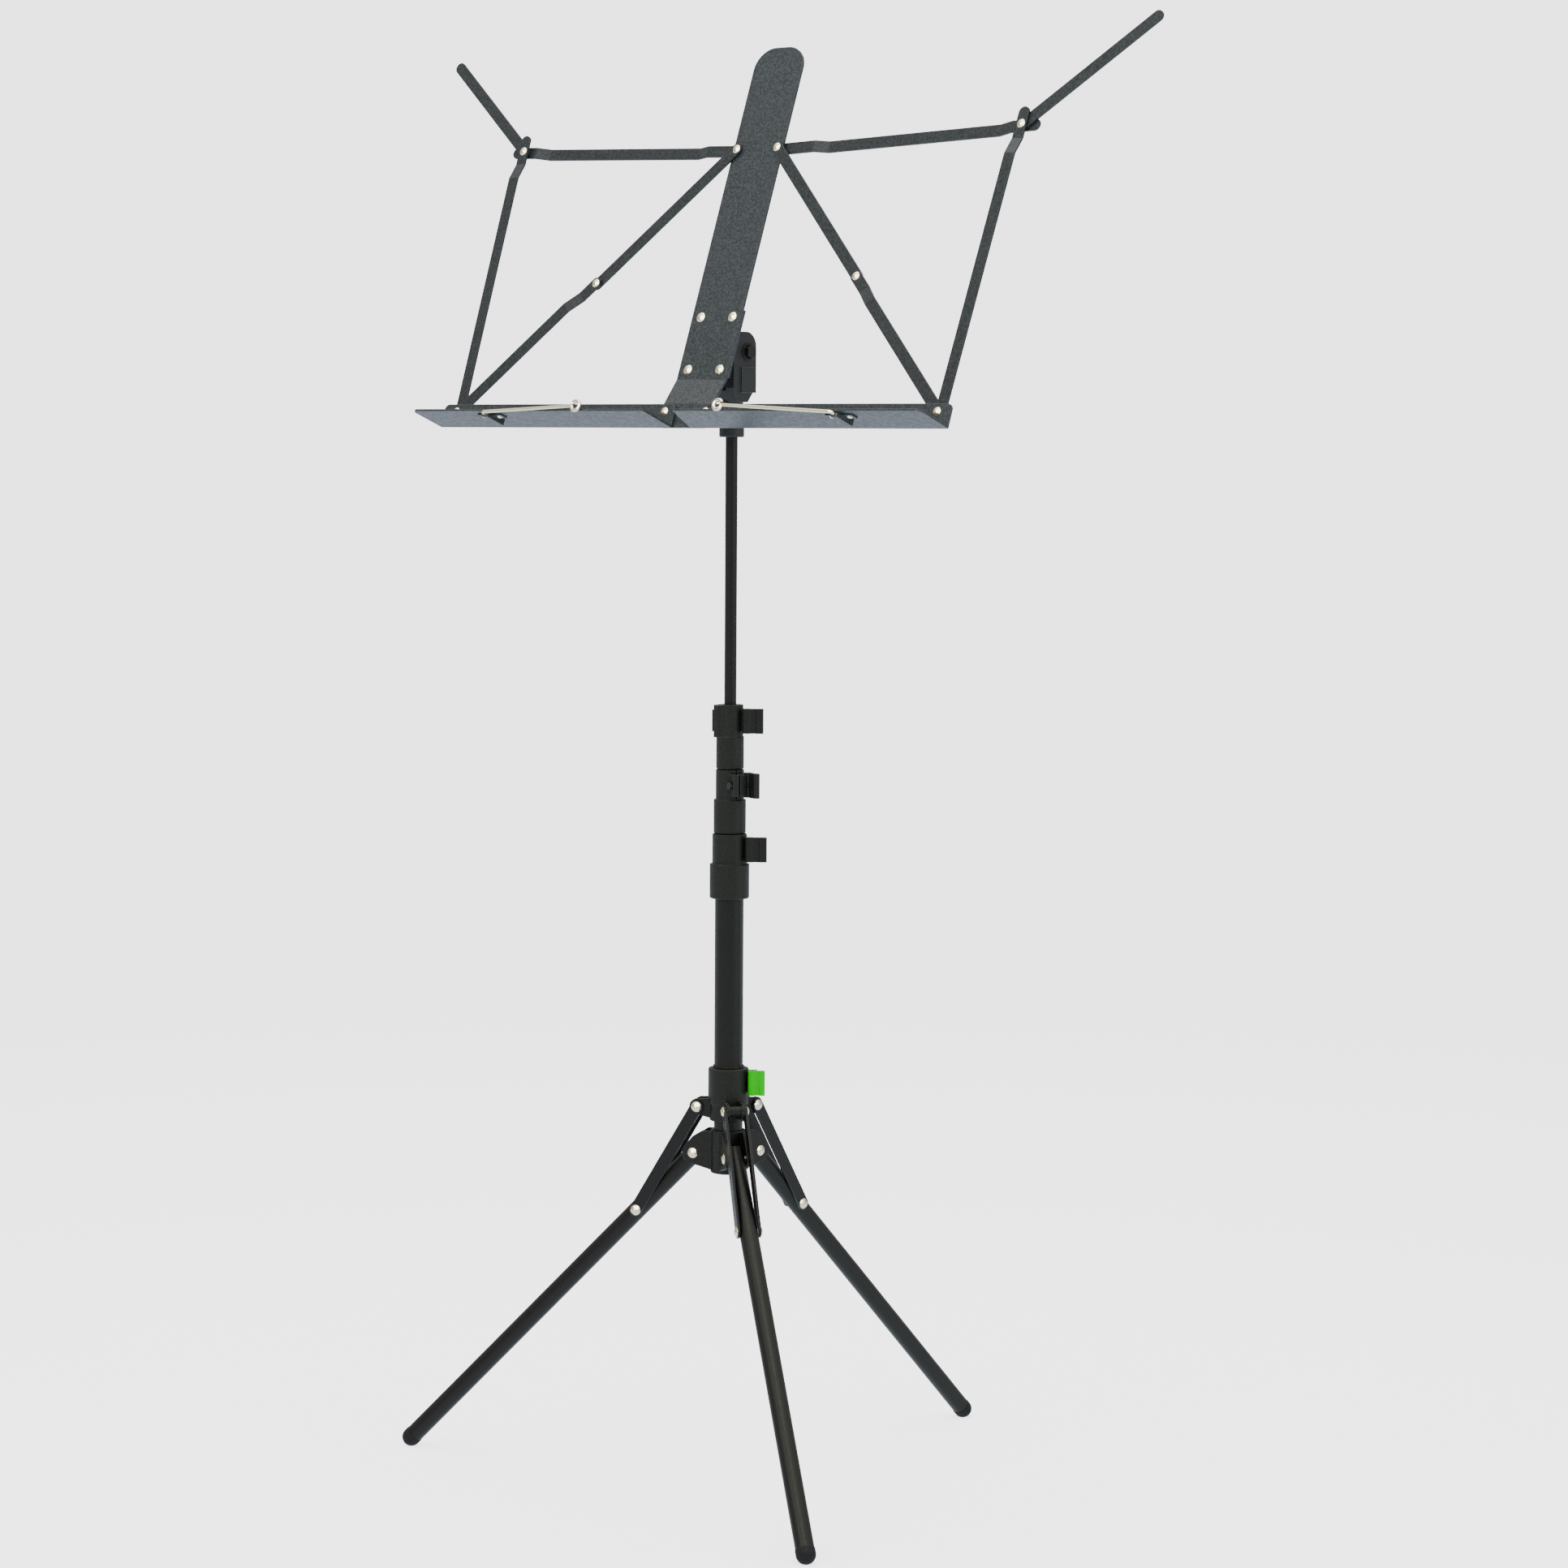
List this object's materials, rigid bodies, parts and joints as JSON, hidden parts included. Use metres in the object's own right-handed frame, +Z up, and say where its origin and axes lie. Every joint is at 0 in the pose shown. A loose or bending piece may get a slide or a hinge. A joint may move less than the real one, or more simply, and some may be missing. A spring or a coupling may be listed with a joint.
{
  "type": "folding music stand",
  "caption": "Folding music stand: tripod base with a sliding collar, telescopic column with cam clamps, and a tilting desk of riveted folding strips with a two-part ledge.",
  "frame": {"origin": "centre of the leg hub's underside, on the column's axis; the floor is 266.3 mm below it", "axes": "+Z up along the column; the desk faces -Y, towards the player; +X to the player's right"},
  "size_m": [0.7854, 0.4923, 1.2491],
  "materials": {
    "steel_tube": "satin black powder coat on the tubes of the column and legs",
    "desk_steel": "satin black fine-textured powder coat on the desk's strips, spine and ledges",
    "plastic": "matt black molded plastic with a fine grain",
    "lever_plastic": "matt black molded levers",
    "nickel": "bright nickel-plated rivets and wire",
    "rubber": "matt black rubber feet",
    "green_plastic": "vivid green molded lever"
  },
  "bodies": {
    "column": {"main_tube": "steel_tube", "leg_hub": "plastic", "hub_rivets": "nickel", "hub_plug": "plastic", "lower_clamp": "plastic", "lower_clamp_bolt": "steel_tube"},
    "collar": {"leg_collar": "plastic", "collar_rivets": "nickel", "collar_bolt": "steel_tube"},
    "lower_draw": {"tube_2": "steel_tube", "middle_clamp": "plastic", "middle_clamp_bolt": "steel_tube"},
    "middle_draw": {"tube_3": "steel_tube", "upper_clamp": "plastic", "upper_clamp_bolt": "steel_tube"},
    "upper_draw": {"top_shaft": "steel_tube", "head_block": "plastic", "tilt_bolt": "plastic"},
    "desk": {"spine": "desk_steel", "tilt_bracket": "desk_steel", "spine_rivets": "nickel", "desk_pivot_rivets": "nickel"},
    "leg_1": {"leg_tube_1": "steel_tube", "leg_foot_1": "rubber"},
    "strut_1": {"strut_links_1": "steel_tube", "strut_rivets_1": "nickel"},
    "leg_2": {"leg_tube_2": "steel_tube", "leg_foot_2": "rubber"},
    "strut_2": {"strut_links_2": "steel_tube", "strut_rivets_2": "nickel"},
    "leg_3": {"leg_tube_3": "steel_tube", "leg_foot_3": "rubber"},
    "strut_3": {"strut_links_3": "steel_tube", "strut_rivets_3": "nickel"},
    "lower_lever_body": {"lower_lever": "lever_plastic"},
    "middle_lever_body": {"middle_lever": "lever_plastic"},
    "upper_lever_body": {"upper_lever": "lever_plastic"},
    "collar_lever_body": {"collar_lever": "green_plastic"},
    "ledge_left": {"tray_left": "desk_steel", "holder_bracket_left": "desk_steel", "tray_rivets_left": "nickel"},
    "top_arm_left": {"arm_left": "desk_steel"},
    "corner_arm_left": {"side_arm_left": "desk_steel", "corner_rivet_left": "nickel"},
    "inner_brace_left": {"brace_upper_left": "desk_steel"},
    "outer_brace_left": {"brace_lower_left": "desk_steel", "brace_rivet_left": "nickel"},
    "wing_left": {"extension_left": "desk_steel"},
    "wire_left": {"page_holder_left": "nickel"},
    "ledge_right": {"tray_right": "desk_steel", "holder_bracket_right": "desk_steel", "tray_rivets_right": "nickel"},
    "top_arm_right": {"arm_right": "desk_steel"},
    "corner_arm_right": {"side_arm_right": "desk_steel", "corner_rivet_right": "nickel"},
    "inner_brace_right": {"brace_upper_right": "desk_steel"},
    "outer_brace_right": {"brace_lower_right": "desk_steel", "brace_rivet_right": "nickel"},
    "wing_right": {"extension_right": "desk_steel"},
    "wire_right": {"page_holder_right": "nickel"}
  },
  "joints": [
    {"name": "collar_slide", "type": "slide", "parent": "column", "child": "collar", "axis": [0, 0, 1], "range_m": [0, 0.14339]},
    {"name": "leg_1_fold", "type": "hinge", "parent": "column", "child": "leg_1", "pos_m": [0.02332, -0.0179, 0.017], "axis": [-0.6088, -0.7934, 0], "range_deg": [0, 131.82]},
    {"name": "strut_1_swing", "type": "hinge", "parent": "collar", "child": "strut_1", "pos_m": [0.02071, -0.01589, 0.05769], "axis": [0.6088, 0.7934, 0], "range_deg": [0, 26.03]},
    {"name": "leg_2_fold", "type": "hinge", "parent": "column", "child": "leg_2", "pos_m": [0.00384, 0.02915, 0.017], "axis": [0.9914, -0.1305, 0], "range_deg": [0, 131.82]},
    {"name": "strut_2_swing", "type": "hinge", "parent": "collar", "child": "strut_2", "pos_m": [0.00341, 0.02588, 0.05769], "axis": [-0.9914, 0.1305, 0], "range_deg": [0, 26.03]},
    {"name": "leg_3_fold", "type": "hinge", "parent": "column", "child": "leg_3", "pos_m": [-0.02716, -0.01125, 0.017], "axis": [-0.3827, 0.9239, 0], "range_deg": [0, 131.82]},
    {"name": "strut_3_swing", "type": "hinge", "parent": "collar", "child": "strut_3", "pos_m": [-0.02411, -0.00999, 0.05769], "axis": [0.3827, -0.9239, 0], "range_deg": [0, 26.03]},
    {"name": "lower_draw_slide", "type": "slide", "parent": "column", "child": "lower_draw", "axis": [0, 0, 1], "range_m": [0, 0.22]},
    {"name": "middle_draw_slide", "type": "slide", "parent": "lower_draw", "child": "middle_draw", "axis": [0, 0, 1], "range_m": [0, 0.24]},
    {"name": "upper_draw_slide", "type": "slide", "parent": "middle_draw", "child": "upper_draw", "axis": [0, 0, 1], "range_m": [-0.222, 0.09]},
    {"name": "lower_lever_cam", "type": "hinge", "parent": "column", "child": "lower_lever_body", "pos_m": [0.01964, 0.00304, 0.28385], "axis": [0, 0, -1], "range_deg": [0, 60]},
    {"name": "middle_lever_cam", "type": "hinge", "parent": "lower_draw", "child": "middle_lever_body", "pos_m": [0.01746, 0.00378, 0.33975], "axis": [0, 0, 1], "range_deg": [0, 60]},
    {"name": "upper_lever_cam", "type": "hinge", "parent": "middle_draw", "child": "upper_lever_body", "pos_m": [0.01758, 0.0013, 0.3952], "axis": [0, 0, -1], "range_deg": [0, 60]},
    {"name": "collar_lever_cam", "type": "hinge", "parent": "collar", "child": "collar_lever_body", "pos_m": [0.02271, 0.00561, 0.0803], "axis": [0, 0, -1], "range_deg": [0, 60]},
    {"name": "desk_tilt", "type": "hinge", "parent": "upper_draw", "child": "desk", "pos_m": [0, 0.0047, 0.7118], "axis": [-1, 0, 0], "range_deg": [-20.5, 69.5]},
    {"name": "ledge_fold_left", "type": "hinge", "parent": "desk", "child": "ledge_left", "pos_m": [-0.0225, -0.0504, 0.6558], "axis": [0, 0.9367, -0.3502], "range_deg": [0, 90]},
    {"name": "top_arm_swing_left", "type": "hinge", "parent": "desk", "child": "top_arm_left", "pos_m": [-0.0225, 0.0354, 0.88528], "axis": [0, 0.9367, -0.3502], "range_deg": [0, 87.86]},
    {"name": "corner_arm_swing_left", "type": "hinge", "parent": "ledge_left", "child": "corner_arm_left", "pos_m": [-0.2675, -0.0504, 0.6558], "axis": [0, -0.9367, 0.3502], "range_deg": [0, 87.86]},
    {"name": "inner_brace_swing_left", "type": "hinge", "parent": "desk", "child": "inner_brace_left", "pos_m": [-0.0225, 0.0354, 0.88528], "axis": [0, -0.9367, 0.3502], "range_deg": [0, 35.02]},
    {"name": "outer_brace_swing_left", "type": "hinge", "parent": "ledge_left", "child": "outer_brace_left", "pos_m": [-0.2675, -0.0504, 0.6558], "axis": [0, 0.9367, -0.3502], "range_deg": [0, 55.02]},
    {"name": "wing_swing_left", "type": "hinge", "parent": "top_arm_left", "child": "wing_left", "pos_m": [-0.27712, 0.03877, 0.89429], "axis": [0, 0.9367, -0.3502], "range_deg": [-36.7, 141]},
    {"name": "wire_turn_left", "type": "hinge", "parent": "ledge_left", "child": "wire_left", "pos_m": [-0.194, -0.05604, 0.64072], "axis": [0, 0.9367, -0.3502], "range_deg": [-105, 0]},
    {"name": "ledge_fold_right", "type": "hinge", "parent": "desk", "child": "ledge_right", "pos_m": [0.0225, -0.0504, 0.6558], "axis": [0, -0.9367, 0.3502], "range_deg": [0, 90]},
    {"name": "top_arm_swing_right", "type": "hinge", "parent": "desk", "child": "top_arm_right", "pos_m": [0.0225, 0.0354, 0.88528], "axis": [0, -0.9367, 0.3502], "range_deg": [0, 87.86]},
    {"name": "corner_arm_swing_right", "type": "hinge", "parent": "ledge_right", "child": "corner_arm_right", "pos_m": [0.2675, -0.0504, 0.6558], "axis": [0, 0.9367, -0.3502], "range_deg": [0, 87.86]},
    {"name": "inner_brace_swing_right", "type": "hinge", "parent": "desk", "child": "inner_brace_right", "pos_m": [0.0225, 0.0354, 0.88528], "axis": [0, 0.9367, -0.3502], "range_deg": [0, 35.02]},
    {"name": "outer_brace_swing_right", "type": "hinge", "parent": "ledge_right", "child": "outer_brace_right", "pos_m": [0.2675, -0.0504, 0.6558], "axis": [0, -0.9367, 0.3502], "range_deg": [0, 55.02]},
    {"name": "wing_swing_right", "type": "hinge", "parent": "top_arm_right", "child": "wing_right", "pos_m": [0.27712, 0.03877, 0.89429], "axis": [0, -0.9367, 0.3502], "range_deg": [-36.7, 141]},
    {"name": "wire_turn_right", "type": "hinge", "parent": "ledge_right", "child": "wire_right", "pos_m": [0.194, -0.05604, 0.64072], "axis": [0, -0.9367, 0.3502], "range_deg": [-105, 0]}
  ],
  "couplings": [
    {"joint": "leg_1_fold", "follows": "collar_slide", "rad_per_m": 16.043},
    {"joint": "strut_1_swing", "follows": "collar_slide", "rad_per_m": 3.1661},
    {"joint": "leg_2_fold", "follows": "collar_slide", "rad_per_m": 16.043},
    {"joint": "strut_2_swing", "follows": "collar_slide", "rad_per_m": 3.1661},
    {"joint": "leg_3_fold", "follows": "collar_slide", "rad_per_m": 16.043},
    {"joint": "strut_3_swing", "follows": "collar_slide", "rad_per_m": 3.1661},
    {"joint": "top_arm_swing_left", "follows": "ledge_fold_left", "ratio": 0.97596},
    {"joint": "corner_arm_swing_left", "follows": "ledge_fold_left", "ratio": 0.97596},
    {"joint": "inner_brace_swing_left", "follows": "ledge_fold_left", "ratio": 0.38889},
    {"joint": "outer_brace_swing_left", "follows": "ledge_fold_left", "ratio": 0.61111},
    {"joint": "top_arm_swing_right", "follows": "ledge_fold_right", "ratio": 0.97596},
    {"joint": "corner_arm_swing_right", "follows": "ledge_fold_right", "ratio": 0.97596},
    {"joint": "inner_brace_swing_right", "follows": "ledge_fold_right", "ratio": 0.38889},
    {"joint": "outer_brace_swing_right", "follows": "ledge_fold_right", "ratio": 0.61111}
  ]
}
